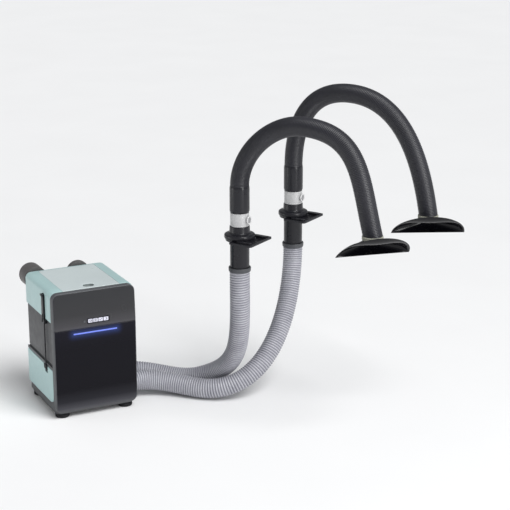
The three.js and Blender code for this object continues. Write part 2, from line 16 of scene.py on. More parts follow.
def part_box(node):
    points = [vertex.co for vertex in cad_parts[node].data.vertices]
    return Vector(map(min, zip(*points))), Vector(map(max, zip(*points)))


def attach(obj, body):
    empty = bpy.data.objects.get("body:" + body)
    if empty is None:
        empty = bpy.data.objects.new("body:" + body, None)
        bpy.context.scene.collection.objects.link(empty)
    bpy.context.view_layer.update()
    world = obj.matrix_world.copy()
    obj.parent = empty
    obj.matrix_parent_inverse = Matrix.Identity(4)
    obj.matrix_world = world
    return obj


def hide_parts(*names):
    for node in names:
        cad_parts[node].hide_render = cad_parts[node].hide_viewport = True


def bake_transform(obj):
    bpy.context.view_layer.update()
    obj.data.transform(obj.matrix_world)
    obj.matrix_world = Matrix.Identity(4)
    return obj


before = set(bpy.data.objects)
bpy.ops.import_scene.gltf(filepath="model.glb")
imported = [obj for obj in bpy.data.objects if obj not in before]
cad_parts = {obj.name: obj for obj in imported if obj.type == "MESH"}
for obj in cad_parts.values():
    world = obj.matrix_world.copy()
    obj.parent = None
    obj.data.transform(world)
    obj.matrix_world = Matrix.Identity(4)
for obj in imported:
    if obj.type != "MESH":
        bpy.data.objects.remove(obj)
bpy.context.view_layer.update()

MM = Matrix.Diagonal((0.001, 0.001, 0.001, 1.0))
TAU = 2 * math.pi


def middle(node):
    low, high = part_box(node)
    return (low + high) / 2


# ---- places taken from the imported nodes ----
BASE_BACK = 8  # the base tray's centre lies this far behind the unit's own centre, in mm
tray = middle("base_tray")
UNIT_AT = Vector((tray.x, tray.y - BASE_BACK / 1000, 0.0))
UNIT = Matrix.Translation(UNIT_AT) @ MM
REACH = math.radians(-58)  # the way both arms reach out, about the vertical


def station(number):
    duct = middle(f"damper_collar_{number}")
    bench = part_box(f"bench_bracket_{number}")[0].z
    return Matrix.Translation((duct.x, duct.y, bench)) @ Matrix.Rotation(REACH, 4, "Z") @ MM


def add_object(name, data):
    made = bpy.data.objects.new(name, data)
    bpy.context.scene.collection.objects.link(made)
    return made


# ---- camera ----
camera_data = bpy.data.cameras.new("camera")
camera_data.lens = 105
camera_data.sensor_width = 36
camera = add_object("camera", camera_data)
camera.location = UNIT_AT + Vector((-1.9547, -5.5760, 2.3744))
camera.rotation_euler = (math.radians(73.5), 0, math.radians(-26.39))
bpy.context.scene.camera = camera


# ---- materials ----
class Finish:
    """A principled material whose colour, gloss and surface come from noise in object space."""

    def __init__(self, name, rough, metallic=0.0, **sockets):
        self.material = bpy.data.materials.new(name)
        self.material.use_nodes = True
        self.tree = self.material.node_tree
        self.shader = self.tree.nodes["Principled BSDF"]
        self.shader.inputs["Roughness"].default_value = rough
        self.shader.inputs["Metallic"].default_value = metallic
        for socket, value in sockets.items():
            self.shader.inputs[socket.replace("_", " ")].default_value = value
        self.where = self.node("ShaderNodeTexCoord").outputs["Object"]
        self.normal = None

    def node(self, kind, **values):
        made = self.tree.nodes.new(kind)
        for key, value in values.items():
            setattr(made, key, value)
        return made

    def link(self, a, b):
        self.tree.links.new(a, b)

    def noise(self, scale, detail=2.0, rough=0.5):
        made = self.node("ShaderNodeTexNoise")
        made.inputs["Scale"].default_value = scale
        made.inputs["Detail"].default_value = detail
        made.inputs["Roughness"].default_value = rough
        self.link(self.where, made.inputs["Vector"])
        return made.outputs["Fac"]

    def sum(self, operation, a, b=None, **values):
        """One step of arithmetic on sockets or numbers."""
        made = self.node("ShaderNodeMath", operation=operation, **values)
        for socket, value in zip(made.inputs, (a, b)):
            if isinstance(value, (int, float)):
                socket.default_value = value
            elif value:
                self.link(value, socket)
        return made.outputs[0]

    def spread(self, value, low, high, to_low, to_high):
        """Maps a value from one range to another."""
        made = self.node("ShaderNodeMapRange")
        for socket, number in zip(("From Min", "From Max", "To Min", "To Max"), (low, high, to_low, to_high)):
            made.inputs[socket].default_value = number
        self.link(value, made.inputs["Value"])
        return made.outputs["Result"]

    def ramp(self, value, stops):
        made = self.node("ShaderNodeValToRGB")
        elements = made.color_ramp.elements
        while len(elements) < len(stops):
            elements.new(0.5)
        for element, (place, colour) in zip(elements, stops):
            element.position = place
            element.color = (*colour, 1)
        self.link(value, made.inputs["Fac"])
        return made.outputs["Color"]

    def mix(self, factor, a, b):
        made = self.node("ShaderNodeMix", data_type="RGBA")
        self.link(factor, made.inputs["Factor"])
        for socket, value in ((made.inputs[6], a), (made.inputs[7], b)):
            if isinstance(value, tuple):
                socket.default_value = (*value, 1)
            else:
                self.link(value, socket)
        return made.outputs[2]

    def colour(self, value):
        self.link(value, self.shader.inputs["Base Color"])

    def rough(self, value):
        self.link(value, self.shader.inputs["Roughness"])

    def bump(self, height, strength, distance=0.001):
        made = self.node("ShaderNodeBump")
        made.inputs["Strength"].default_value = strength
        made.inputs["Distance"].default_value = distance
        self.link(height, made.inputs["Height"])
        if self.normal:
            self.link(self.normal, made.inputs["Normal"])
        self.normal = made.outputs["Normal"]
        self.link(self.normal, self.shader.inputs["Normal"])


def moulded(name, base, rough, grain=900, grain_depth=0.12, drift=0.10, metallic=0.0, spread=0.08, **sockets):
    """Moulded or painted surface: slow colour drift, uneven gloss, fine grain and a faint ripple."""
    made = Finish(name, rough, metallic, **sockets)
    dark = tuple(c * (1 - drift) for c in base)
    light = tuple(min(1.0, c * (1 + drift)) for c in base)
    slow = made.noise(7, 3)
    made.colour(made.ramp(slow, [(0.3, dark), (0.7, light)]))
    made.rough(made.spread(made.noise(38, 4, 0.6), 0.25, 0.75, max(0.02, rough - spread), rough + spread))
    made.bump(made.noise(60, 1), 0.04, 0.0006)
    made.bump(made.noise(grain, 2, 0.6), grain_depth, 0.0002)
    return made.material


TEAL = moulded("teal_shell", (0.365, 0.520, 0.520), 0.36, grain=1400, grain_depth=0.10, drift=0.035)
PALE = moulded("pale_teal", (0.535, 0.600, 0.605), 0.34, grain=1400, grain_depth=0.08, drift=0.03)
GRAPHITE = moulded("graphite_paint", (0.062, 0.064, 0.068), 0.46, grain=1100, grain_depth=0.25,
                   Specular_IOR_Level=0.35)
FRAME_GREY = moulded("graphite_plastic", (0.072, 0.075, 0.082), 0.42, grain=1100, grain_depth=0.18,
                     Specular_IOR_Level=0.35)
STUB_GREY = moulded("stub_plastic", (0.088, 0.083, 0.083), 0.45, grain=1100, grain_depth=0.18,
                    Specular_IOR_Level=0.35)
# Finger cup: the lid's pale moulding darkened to teal-grey, painted shade of the recess.
CUP_SHADE = moulded("finger_cup", (0.17, 0.20, 0.20), 0.5, grain=1200, grain_depth=0.1)
BLACK = moulded("black_plastic", (0.010, 0.011, 0.014), 0.42, grain=1000, grain_depth=0.2,
                Specular_IOR_Level=0.3)
# Near-black for the printed marks and for cut walls; on the vent slots, the outlet throats and the latch
# grooves it is painted shade.
DARK = moulded("dark_inside", (0.004, 0.004, 0.005), 0.7, Specular_IOR_Level=0.1)
RUBBER = moulded("foot_rubber", (0.012, 0.012, 0.014), 0.75, grain=700, grain_depth=0.4,
                 Specular_IOR_Level=0.25)
BRACKET = moulded("bracket_black", (0.013, 0.013, 0.017), 0.30, grain=900, grain_depth=0.15,
                  Specular_IOR_Level=0.35)
WHITE = moulded("white_plastic", (0.50, 0.50, 0.505), 0.26, grain=1200, grain_depth=0.06, drift=0.02,
                Specular_IOR_Level=1.0)
KNOB_WHITE = moulded("knob_white", (0.70, 0.70, 0.705), 0.35, grain=1200, grain_depth=0.06, drift=0.02)
KNOB_GREY = moulded("knob_grey", (0.30, 0.30, 0.31), 0.4, grain=1200, grain_depth=0.1)
BEIGE = moulded("ring_beige", (0.42, 0.42, 0.35), 0.5, grain=800, grain_depth=0.2)
HOOD = moulded("hood_black", (0.0040, 0.0040, 0.0058), 0.17, grain=300, grain_depth=0.02, drift=0.2,
               Specular_IOR_Level=0.2)
ALUMINIUM = moulded("aluminium", (0.62, 0.63, 0.65), 0.34, metallic=1.0)
ROD = moulded("blackened_rod", (0.02, 0.02, 0.024), 0.3, metallic=0.4)
FELT = moulded("felt", (0.7, 0.7, 0.68), 0.95, grain=500, grain_depth=0.9)
CARD = moulded("card", (0.5, 0.42, 0.26), 0.85, grain=400, grain_depth=0.4)
BOARD = moulded("circuit_board", (0.02, 0.12, 0.05), 0.4)


def arm_skin():
    """Satin black bellows: a touch of violet, a slowly varying tone and a wide soft sheen."""
    made = Finish("arm_rubber", 0.42, Specular_IOR_Level=0.6)
    slow = made.noise(9, 4)
    made.colour(made.ramp(slow, [(0.3, (0.009, 0.009, 0.014)), (0.7, (0.014, 0.014, 0.021))]))
    made.rough(made.spread(made.noise(45, 3), 0.2, 0.8, 0.40, 0.46))
    made.bump(made.noise(1300, 2), 0.15, 0.0002)
    return made.material


def hose_film(name, dark, light, rough):
    """Thin hose wall, the wire that shows through it, or the painted shade of the deepest fold: uneven wall,
    smudges and small creases.
    """
    made = Finish(name, rough)
    slow = made.noise(16, 5, 0.6)
    made.colour(made.ramp(slow, [(0.3, dark), (0.7, light)]))
    made.rough(made.spread(made.noise(90, 3), 0.3, 0.7, rough - 0.08, rough + 0.1))
    made.bump(made.noise(240, 3, 0.6), 0.25, 0.0006)
    return made.material


ARM = arm_skin()
HOSE_WIRE = hose_film("hose_wire", (0.47, 0.47, 0.51), (0.60, 0.60, 0.64), 0.30)
HOSE_WALL = hose_film("hose_wall", (0.27, 0.27, 0.31), (0.36, 0.36, 0.40), 0.42)
# The deepest fold of the hose is darkened: painted shade.
HOSE_FOLD_SHADE = hose_film("hose_fold_shade", (0.095, 0.094, 0.118), (0.15, 0.149, 0.178), 0.5)


GLOW_REACH, GLOW_FALL = 0.034, 2.4  # how far the light bar's glow goes, in metres, and how fast it fades
GLOW = (0.022, 0.040, 0.145)


def front_gloss(name, painted_reflection_shades, rough, level):
    """Glossy front coloured by height, from (height in m, colour) pairs that paint in its reflections, with
    the light bar's glow painted on it as emission.
    """
    made = Finish(name, rough, Specular_IOR_Level=level)
    split = made.node("ShaderNodeSeparateXYZ")
    made.link(made.where, split.inputs["Vector"])
    low, high = painted_reflection_shades[0][0], painted_reflection_shades[-1][0]
    height = made.spread(split.outputs["Z"], low, high, 0.0, 1.0)
    painted_reflection = made.ramp(height, [((z - low) / (high - low), colour) for z, colour in painted_reflection_shades])
    made.colour(made.mix(made.spread(made.noise(4, 1), 0.1, 0.9, 0.0, 0.08), painted_reflection, (0.0, 0.0, 0.0)))
    made.rough(made.spread(made.noise(9, 2), 0.1, 0.9, rough * 0.9, rough * 1.2))
    made.bump(made.noise(14, 1), 0.01, 0.0004)
    led_low, led_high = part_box("led_bar")
    centre, half = (led_low + led_high) / 2, (led_high - led_low) / 2
    away = []
    for axis, k in (("X", 0), ("Z", 2)):
        offset = made.sum("ABSOLUTE", made.sum("SUBTRACT", split.outputs[axis], centre[k]))
        away.append(made.sum("POWER", made.sum("SUBTRACT", offset, half[k], use_clamp=True), 2.0))
    distance = made.sum("SQRT", made.sum("ADD", *away))
    near = made.sum("POWER", made.spread(distance, 0.0, GLOW_REACH, 1.0, 0.0), GLOW_FALL)
    made.link(made.mix(near, (0.0, 0.0, 0.0), GLOW), made.shader.inputs["Emission Color"])
    made.shader.inputs["Emission Strength"].default_value = 1.0
    return made.material


def lit(name, colour, strength):
    made = Finish(name, 0.3)
    made.shader.inputs["Emission Strength"].default_value = strength
    edge = made.noise(30, 2)
    made.link(made.ramp(edge, [(0.3, tuple(c * 0.9 for c in colour)), (0.7, colour)]),
              made.shader.inputs["Emission Color"])
    made.colour(made.ramp(edge, [(0.3, colour), (0.7, colour)]))
    return made.material


# Lower front: painted reflection, grey on the curled foot that faces the floor and faintly blue near the
# light bar as painted light from it.
GLOSS = front_gloss("front_black", [
    (0.030, (0.105, 0.105, 0.115)), (0.046, (0.055, 0.055, 0.064)), (0.075, (0.016, 0.016, 0.021)),
    (0.120, (0.0035, 0.0032, 0.0060)), (0.300, (0.0035, 0.0032, 0.0065)), (0.383, (0.0060, 0.0056, 0.0110))],
    0.12, 0.15)
# Upper front: painted reflection of the floor, lighter towards the crease at its foot.
SMOKE = front_gloss("front_smoke", [
    (0.383, (0.062, 0.060, 0.066)), (0.400, (0.046, 0.045, 0.050)), (0.440, (0.028, 0.028, 0.031)),
    (0.538, (0.021, 0.022, 0.025))], 0.24, 0.25)
LED = lit("light_bar", (0.085, 0.125, 0.46), 1.0)
ICON = lit("icon_white", (0.50, 0.50, 0.58), 0.35)
DIM_ICON = lit("icon_dim", (0.14, 0.15, 0.17), 0.1)


# ---- mesh helpers ----
@contextmanager
def editing(mesh, weld=1e-6):
    """Opens a mesh with its doubled points merged, and writes it back."""
    shape = bmesh.new()
    shape.from_mesh(mesh)
    bmesh.ops.remove_doubles(shape, verts=shape.verts, dist=weld)
    yield shape
    shape.to_mesh(mesh)
    shape.free()


def shade(shape, sharp):
    """Smooth faces, with the edges sharper than so many degrees kept hard."""
    for face in shape.faces:
        face.smooth = True
    for edge in shape.edges:
        edge.smooth = len(edge.link_faces) != 2 or edge.calc_face_angle(0) < math.radians(sharp)


def finish_mesh(name, data, body, materials, replaced, sharp):
    """Makes the object, with smooth faces and its sharp edges marked, and rides it on its body."""
    for material in materials:
        data.materials.append(material)
    with editing(data) as shape:
        bmesh.ops.dissolve_degenerate(shape, edges=shape.edges, dist=1e-7)
        bmesh.ops.recalc_face_normals(shape, faces=shape.faces)
        shade(shape, sharp)
    made = add_object(name, data)
    if body:
        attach(made, body)
    if replaced:
        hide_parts(*replaced)
    return made


PIECE_SHARP = 32  # degrees


def piece(name, parts, place, body, material, replaced=(), sharp=PIECE_SHARP):
    """One object from one or more (vertices, faces) in local mm; each part may carry a material number."""
    materials = material if isinstance(material, list) else [material]
    vertices, faces, numbers = [], [], []
    for part in parts:
        points, polygons = part[0], part[1]
        number = part[2] if len(part) > 2 else 0
        start = len(vertices)
        vertices += [place @ Vector(p) for p in points]
        faces += [tuple(start + i for i in polygon) for polygon in polygons]
        numbers += number if isinstance(number, list) else [number] * len(polygons)
    data = bpy.data.meshes.new(name)
    data.from_pydata(vertices, [], faces)
    data.polygons.foreach_set("material_index", numbers)
    return finish_mesh(name, data, body, materials, replaced, sharp)


def loft(rows, closed=True, caps=True, loop=False):
    """Skins rows of equal length; closed rows are rings, a looped loft joins its last row to its first."""
    count = len(rows[0])
    points = [p for row in rows for p in row]
    faces = []
    for i in range(len(rows) if loop else len(rows) - 1):
        n = (i + 1) % len(rows)
        for j in range(count if closed else count - 1):
            k = (j + 1) % count
            faces.append((i * count + j, i * count + k, n * count + k, n * count + j))
    if caps and not loop:
        faces.append(tuple(reversed(range(count))))
        faces.append(tuple(range((len(rows) - 1) * count, len(rows) * count)))
    return points, faces


def softened(profile, radius=0.8, steps=3, closed=False):
    """Rounds the corners of a 2D line; a third number at a corner is its own radius."""
    out = []
    last = len(profile) - 1
    for i, corner in enumerate(profile):
        r = corner[2] if len(corner) > 2 else radius
        here = Vector(corner[:2])
        if (not closed and i in (0, last)) or r == 0:
            out.append(tuple(here))
            continue
        before = Vector(profile[i - 1][:2]) - here
        after = Vector(profile[(i + 1) % len(profile)][:2]) - here
        reach = min(r, before.length * 0.45, after.length * 0.45)
        a, b = here + before.normalized() * reach, here + after.normalized() * reach
        for k in range(steps + 1):
            t = k / steps
            out.append(tuple((1 - t) ** 2 * a + 2 * t * (1 - t) * here + t * t * b))
    return out


def turned(profile, sides=56, axis="z", at=(0, 0, 0), radius=0.8, closed=True, wave=None):
    """Turns a [radius, height] profile round an axis. Closed profiles are rings, others end on the axis."""
    line = softened(profile, radius, closed=closed)
    rows = []
    for r, h in line:
        row = []
        for k in range(sides):
            a = TAU * k / sides
            rr = wave(r, h, a) if wave else r
            x, y = rr * math.cos(a), rr * math.sin(a)
            local = {"z": (x, y, h), "x": (h, x, y), "y": (y, h, x)}[axis]
            row.append(tuple(c + d for c, d in zip(local, at)))
        rows.append(row)
    return loft(rows, loop=closed, caps=not closed)


def outline(w, h, radii, inset=0.0, steps=8):
    """Rounded rectangle, anticlockwise from its low left corner, drawn in by an inset."""
    radii = [radii] * 4 if isinstance(radii, (int, float)) else radii
    corners = [(-1, -1, math.pi), (1, -1, 1.5 * math.pi), (1, 1, 0.0), (-1, 1, 0.5 * math.pi)]
    out = []
    for (sx, sy, start), r in zip(corners, radii):
        r = max(r - inset, 0.02)
        x, y = sx * (w / 2 - inset - r), sy * (h / 2 - inset - r)
        for k in range(steps + 1):
            a = start + k / steps * math.pi / 2
            out.append((x + r * math.cos(a), y + r * math.sin(a)))
    return out


def stack(w, h, radii, levels, centre=(0, 0), steps=8):
    """Upright solid from outlines: levels are (height, inset)."""
    return loft([[(x + centre[0], y + centre[1], z) for x, y in outline(w, h, radii, inset, steps)]
                 for z, inset in levels])


def rounded_levels(z0, z1, low, high, steps=4):
    """Heights and insets that round the bottom and top edges of a stack."""
    turns = [k / steps * math.pi / 2 for k in range(steps + 1)]
    lower = [(z0 + low * (1 - math.sin(a)), low * (1 - math.cos(a))) for a in turns]
    upper = [(z1 - high * (1 - math.sin(a)), high * (1 - math.cos(a))) for a in turns]
    return sorted(lower) + sorted(upper)


def through(part, matrix):
    """A part's points taken through a matrix."""
    return ([tuple(matrix @ Vector(p)) for p in part[0]], *part[1:])


def facing(direction, at):
    """Matrix from a panel's (across, up, out) to the unit's frame."""
    across, up, out = {
        "front": ((1, 0, 0), (0, 0, 1), (0, -1, 0)),
        "back": ((-1, 0, 0), (0, 0, 1), (0, 1, 0)),
        "left": ((0, -1, 0), (0, 0, 1), (-1, 0, 0)),
        "right": ((0, 1, 0), (0, 0, 1), (1, 0, 0)),
        "top": ((1, 0, 0), (0, 1, 0), (0, 0, 1)),
    }[direction]
    made = Matrix((across, up, out)).transposed().to_4x4()
    made.translation = Vector(at)
    return made


def panel(w, h, radii, front, back, edge=1.5, extra=(), extra_rows=(), across=14, up=14):
    """Panel about (0, 0) with a rounded rim: front and back are heights over (u, v, distance from it)."""
    radii = [radii] * 4 if isinstance(radii, (int, float)) else radii

    def inside(u, v):
        r = radii[(0 if u < 0 else 1) if v < 0 else (3 if u < 0 else 2)]
        qx, qy = abs(u) - w / 2 + r, abs(v) - h / 2 + r
        return r - min(max(qx, qy), 0) - math.hypot(max(qx, 0), max(qy, 0))

    def reach(v, left):
        low, high = (radii[0], radii[3]) if left else (radii[1], radii[2])
        for r, depth in ((low, v + h / 2), (high, h / 2 - v)):
            if r and depth < r:
                return w / 2 - r + math.sqrt(max(r * r - (r - depth) ** 2, 0))
        return w / 2

    near = [0, 0.12 * edge, 0.4 * edge, edge, 1.8 * edge]
    rows = set()
    for sign, pair in ((-1, radii[:2]), (1, radii[2:])):
        r = max(pair)
        for d in near + [r * (1 - math.cos(k / 10 * math.pi / 2)) for k in range(1, 11)]:
            rows.add(round(sign * (h / 2 - d), 4))
    for k in range(1, up):
        rows.add(round(-h / 2 + h * k / up, 4))
    rows |= {round(v, 4) for v in extra_rows if abs(v) < h / 2}
    rows = sorted(rows)
    sides = sorted(set(near) | set(extra))
    fronts, backs = [], []
    for v in rows:
        x0, x1 = -reach(v, True), reach(v, False)
        line = [x0 + d for d in sides] + [
            x0 + sides[-1] + (x1 - x0 - 2 * sides[-1]) * k / across for k in range(1, across)
        ] + [x1 - d for d in reversed(sides)]
        one, two = [], []
        for u in line:
            d = max(inside(u, v), 0)
            drop = edge - math.sqrt(max(edge ** 2 - (edge - d) ** 2, 0)) if d < edge else 0
            one.append((u, v, front(u, v, d) - drop))
            two.append((u, v, back(u, v, d)))
        fronts.append(one)
        backs.append(two)
    count = len(fronts[0])
    points = [p for row in fronts + backs for p in row]
    faces = []
    off = len(rows) * count
    for i in range(len(rows) - 1):
        for j in range(count - 1):
            a, b, c, d = i * count + j, i * count + j + 1, (i + 1) * count + j + 1, (i + 1) * count + j
            faces += [(a, b, c, d), (off + d, off + c, off + b, off + a)]
    rim = ([j for j in range(count)] + [i * count + count - 1 for i in range(1, len(rows))]
           + [(len(rows) - 1) * count + j for j in range(count - 2, -1, -1)]
           + [i * count for i in range(len(rows) - 2, 0, -1)])
    for a, b in zip(rim, rim[1:] + rim[:1]):
        faces.append((a, off + a, off + b, b))
    return points, faces


def flat(value):
    return lambda u, v, d: value


def carve(target, place, *cutters):
    """Cuts closed parts out of an object; the walls of a cut take the object's last material."""
    for points, faces in cutters:
        data = bpy.data.meshes.new("cutter")
        data.from_pydata([place @ Vector(p) for p in points], [], faces)
        shape = bmesh.new()
        shape.from_mesh(data)
        bmesh.ops.recalc_face_normals(shape, faces=shape.faces)
        shape.to_mesh(data)
        shape.free()
        for material in target.data.materials:
            data.materials.append(material)
        data.polygons.foreach_set("material_index", [len(data.materials) - 1] * len(data.polygons))
        cutter = add_object("cutter", data)
        modifier = target.modifiers.new("cut", "BOOLEAN")
        modifier.object = cutter
        modifier.operation = "DIFFERENCE"
        modifier.solver = "EXACT"
        bpy.context.view_layer.update()
        evaluated = target.evaluated_get(bpy.context.evaluated_depsgraph_get())
        result = bpy.data.meshes.new_from_object(evaluated)
        target.modifiers.clear()
        target.data = result
        bpy.data.objects.remove(cutter)
    with editing(target.data) as shape:
        shade(shape, PIECE_SHARP)


def refined(name, node, body, material, width):
    """A CAD node's own shape with flat faces merged and its hard edges rounded."""
    shape = bmesh.new()
    shape.from_mesh(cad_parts[node].data)
    bmesh.ops.remove_doubles(shape, verts=shape.verts, dist=1e-6)
    bmesh.ops.dissolve_limit(shape, angle_limit=math.radians(1), verts=shape.verts, edges=shape.edges)
    bmesh.ops.recalc_face_normals(shape, faces=shape.faces)
    hard = [e for e in shape.edges if len(e.link_faces) == 2 and e.calc_face_angle(0) > math.radians(38)]
    bmesh.ops.bevel(shape, geom=hard, offset=width / 1000, offset_type="OFFSET", segments=2, profile=0.6,
                    affect="EDGES", clamp_overlap=True)
    data = bpy.data.meshes.new(name)
    shape.to_mesh(data)
    shape.free()
    return finish_mesh(name, data, body, [material], [node], 50)


# ---- tubes along a route ----
def bezier(points, t):
    a, b, c, d = (Vector(p) for p in points)
    s = 1 - t
    return s ** 3 * a + 3 * s * s * t * b + 3 * s * t * t * c + t ** 3 * d


class Route:
    """Points, lengths and steady side directions along joined cubic Bezier stretches."""

    def __init__(self, stretches, steps=240):
        line = [bezier(stretches[0], 0)]
        for stretch in stretches:
            line += [bezier(stretch, k / steps) for k in range(1, steps + 1)]
        self.line = np.array(line)
        self.lengths = np.r_[0, np.cumsum(np.linalg.norm(np.diff(self.line, axis=0), axis=1))]
        self.total = float(self.lengths[-1])
        along = np.gradient(self.line, self.lengths, axis=0)
        along /= np.linalg.norm(along, axis=1)[:, None]
        side = np.cross(along[0], (0.0, 0.0, 1.0) if abs(along[0][2]) < 0.9 else (1.0, 0.0, 0.0))
        sides = []
        for tangent in along:
            side = side - tangent * (side @ tangent)
            side /= np.linalg.norm(side)
            sides.append(side)
        self.along, self.sides = along, np.array(sides)

    def at(self, s):
        s = min(max(s, 0.0), self.total)
        pick = lambda rows: np.array([np.interp(s, self.lengths, rows[:, k]) for k in range(3)])
        point, along, side = pick(self.line), pick(self.along), pick(self.sides)
        along /= np.linalg.norm(along)
        side -= along * (side @ along)
        side /= np.linalg.norm(side)
        return point, side, np.cross(along, side)


def ribbed(route, pitch, radii, end_radius, sides, finish_of, tail=()):
    """Tube with one helical rib per pitch. radii are the radii round one pitch, finish_of their materials;
    tail adds (length back from the end, radius) rings that turn the end of the tube inwards."""
    rows = len(radii)
    count = math.ceil(route.total / pitch * rows) + rows + 1
    first = -rows
    points, faces, numbers = [], [], []
    cosines = [(math.cos(TAU * j / sides), math.sin(TAU * j / sides)) for j in range(sides)]
    for i in range(first, count):
        for j, (c, s) in enumerate(cosines):
            place = (i / rows + j / sides) * pitch
            inside = 0 < place < route.total
            r = radii[i % rows] if inside else end_radius
            point, side, up = route.at(place)
            points.append(tuple(point + r * (c * side + s * up)))
    ring = lambda i, j: (i - first) * sides + j
    for i in range(first, count - 1):
        for j in range(sides):
            if j < sides - 1:
                a, b, c, d = ring(i, j), ring(i, j + 1), ring(i + 1, j + 1), ring(i + 1, j)
            elif i + rows + 1 < count:
                a, b, c, d = ring(i, j), ring(i + rows, 0), ring(i + rows + 1, 0), ring(i + 1, j)
            else:
                continue
            faces.append((a, b, c, d))
            numbers.append(finish_of[i % rows])
    last = [ring(count - 1, j) for j in range(sides)]
    for back, r in tail:
        point, side, up = route.at(route.total - back)
        start = len(points)
        points += [tuple(point + r * (c * side + s * up)) for c, s in cosines]
        new = [start + j for j in range(sides)]
        for j in range(sides):
            k = (j + 1) % sides
            faces.append((last[j], last[k], new[k], new[j]))
            numbers.append(finish_of[0])
        last = new
    return points, faces, numbers


def trim(target, at):
    """Takes away what lies below a height."""
    with editing(target, 2e-6) as shape:
        bmesh.ops.bisect_plane(shape, geom=[*shape.verts, *shape.edges, *shape.faces], plane_co=at,
                               plane_no=(0, 0, 1), clear_inner=True)
        rim = [e for e in shape.edges if e.is_boundary and all(abs(v.co.z - at.z) < 1e-5 for v in e.verts)]
        bmesh.ops.bridge_loops(shape, edges=rim)


def close_holes(target):
    """Fills the open rings of a mesh and points its faces outwards."""
    with editing(target, 2e-6) as shape:
        bmesh.ops.dissolve_degenerate(shape, edges=shape.edges, dist=1e-7)
        bmesh.ops.holes_fill(shape, edges=[e for e in shape.edges if e.is_boundary], sides=0)
        bmesh.ops.recalc_face_normals(shape, faces=shape.faces)


# ---- hoses: their route repeats the CAD model's ----
HOSE_ROUTES = {
    1: [[(201, 67, 68), (340, 67, 68), (409, -33, 21), (491, -106, 58)],
        [(491, -106, 58), (643, -243, 128), (570, -348, 264), (570, -348, 590)]],
    2: [[(201, -58, 68), (351, -58, 68), (413, -179, 33), (498, -238, 47)],
        [(498, -238, 47), (723, -396, 86), (935, -120, 350), (935, -120, 590)]],
}
HOSE_PITCH = 10.5
HOSE_RADII = [42.0, 41.7, 40.4, 39.4, 39.6, 40.9]

for number, stretches in HOSE_ROUTES.items():
    route = Route(stretches)
    # The crest takes the wire's colour, the deepest fold the painted shade, the rest the wall.
    points, faces, numbers = ribbed(route, HOSE_PITCH, HOSE_RADII, 40.4, 40, [0, 1, 1, 2, 1, 1])
    data = bpy.data.meshes.new(f"hose_tube_{number}")
    data.from_pydata([UNIT @ Vector(p) for p in points], [], faces)
    data.polygons.foreach_set("material_index", numbers)
    close_holes(data)
    hose = finish_mesh(f"hose_tube_{number}", data, "unit", [HOSE_WIRE, HOSE_WALL, HOSE_FOLD_SHADE],
                       [f"hose_{number}"], 70)
    steps = max(24, round(route.total / 12))
    centres = [UNIT @ Vector(route.at(route.total * k / steps)[0]) for k in range(steps + 1)]

    start, top = stretches[0][0], stretches[1][3]
    grips = lambda r, h, a: r + (0.5 if r > 45.5 and math.cos(30 * a) > 0 else 0)
    unit_cuff = piece(
        f"cuff_unit_{number}", [turned([(42.6, -15.6), (46.4, -15.6), (46.6, -3), (45, 2.0), (42.6, 2.0)],
                                       sides=120, axis="x", at=start, radius=1.2, wave=grips)],
        UNIT, "unit", FRAME_GREY, [f"hose_cuff_unit_{number}"])
    bench_cuff = piece(
        f"cuff_bench_{number}", [turned(
            [(42.4, -2), (44.2, -2), (45.4, 1), (45.6, 14), (44.5, 16), (40.2, 16), (40.2, 1.2), (42.4, 1.0)],
            sides=120, at=top, radius=0.8, wave=grips)],
        UNIT, "unit", FRAME_GREY, [f"hose_cuff_bench_{number}"])
    crossed = [stack(w, h, 0.6, [(0, 0.6), (0.6, 0), (3.4, 0), (4, 0.6)], steps=2)
               for w, h in ((84, 3), (3, 84))]
    mouths = {
        "unit": Matrix.Translation((start[0] - 9, start[1], start[2])) @ Matrix.Rotation(TAU / 4, 4, "Y"),
        "bench": Matrix.Translation((top[0], top[1], top[2] + 5)),
    }
    for end, at in mouths.items():
        piece(f"cuff_bars_{end}_{number}", [through(p, at) for p in crossed], UNIT, "unit", FRAME_GREY)
    tuple(UNIT @ Vector(start))
    [tuple(c) for c in centres]

# ---- filter unit: base, feet and chassis ----
WIDTH, FRONT, REAR, TOP = 354, -180, 180, 540
SIDE = WIDTH / 2
CREASE, HEAD_LOW = 383, 412
FRAME_BACK = -146
LEAN = math.tan(math.radians(3))

piece("base_pan", [stack(336, 332, 24, rounded_levels(18, 26, 1.2, 0.5), (0, BASE_BACK))],
      UNIT, "unit", GRAPHITE, ["base_tray"])
for corner in ("front_left", "front_right", "rear_left", "rear_right"):
    at = UNIT.inverted() @ middle(f"foot_{corner}")
    piece(f"rubber_foot_{corner}", [turned(
        [(0, 0), (25.5, 0, 2), (30, 4, 2), (30, 8, 0.5), (29.2, 8.6, 0.5), (29.2, 10, 0.5), (30, 10.6, 0.5),
         (30, 13, 2), (25, 17.8, 1), (0, 17.8)], at=(at.x, at.y, 0), closed=False)],
        UNIT, "unit", RUBBER, [f"foot_{corner}"])

